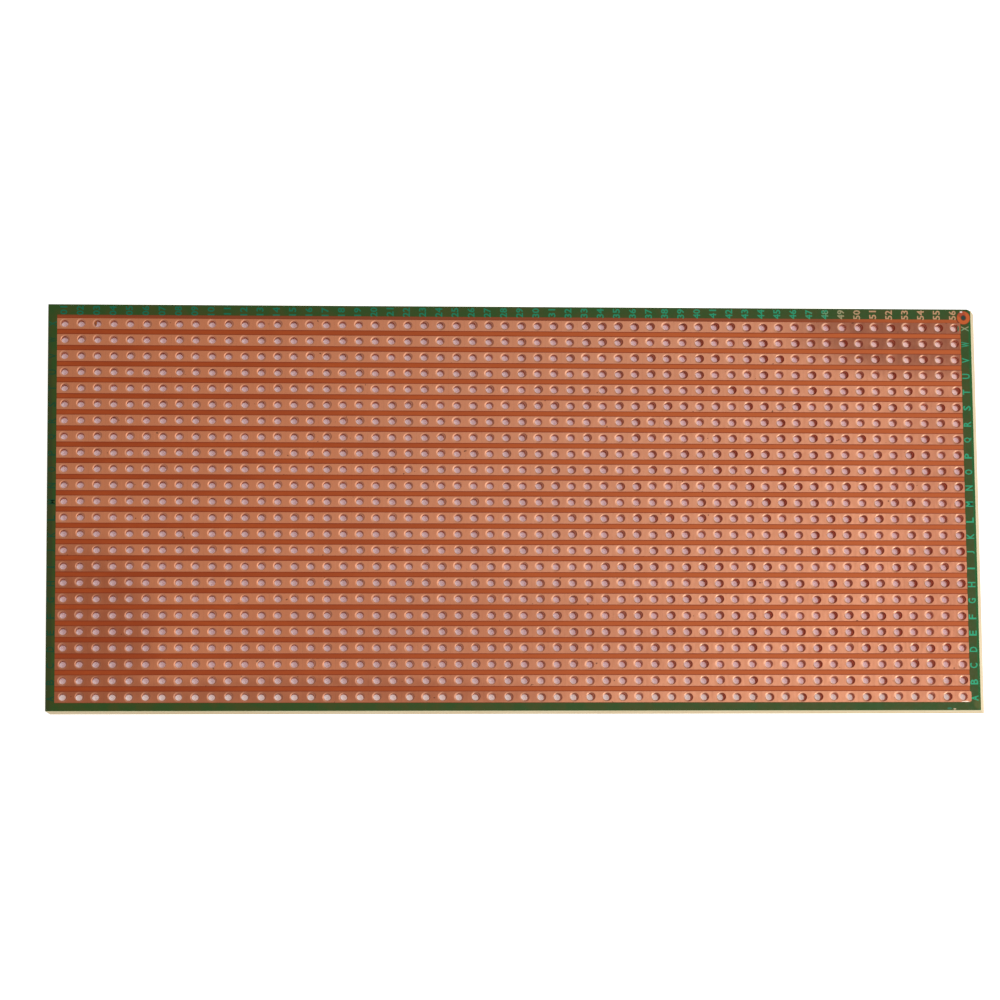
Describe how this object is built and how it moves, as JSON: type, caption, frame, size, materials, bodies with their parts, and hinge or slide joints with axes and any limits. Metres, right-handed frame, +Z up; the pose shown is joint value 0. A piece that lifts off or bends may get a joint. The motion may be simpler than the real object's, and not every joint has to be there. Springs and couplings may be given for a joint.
{
  "type": "prototype board",
  "caption": "Flat copper stripboard for prototype circuits, with punched lead holes on a 0.1 inch grid, parallel copper strips and a printed border.",
  "frame": {"origin": "middle of the whole sheet's outline, on its lower face", "axes": "+X along the copper strips, +Y across them, +Z up out of the copper face"},
  "size_m": [0.1458, 0.064, 0.0015],
  "materials": {
    "laminate": "satin paper and resin laminate, red brown, paler where sheared",
    "copper": "bare copper foil under a thin clear flux, satin",
    "solder_mask": "dark green print, semi gloss"
  },
  "bodies": {
    "root": {"laminate": "laminate", "solder_mask": "solder_mask", "strip_a": "copper", "strip_b": "copper", "strip_c": "copper", "strip_d": "copper", "strip_e": "copper", "strip_f": "copper", "strip_g": "copper", "strip_h": "copper", "strip_i": "copper", "strip_j": "copper", "strip_k": "copper", "strip_l": "copper", "strip_m": "copper", "strip_n": "copper", "strip_o": "copper", "strip_p": "copper", "strip_q": "copper", "strip_r": "copper", "strip_s": "copper", "strip_t": "copper", "strip_u": "copper", "strip_v": "copper", "strip_w": "copper", "strip_x": "copper"}
  },
  "joints": []
}
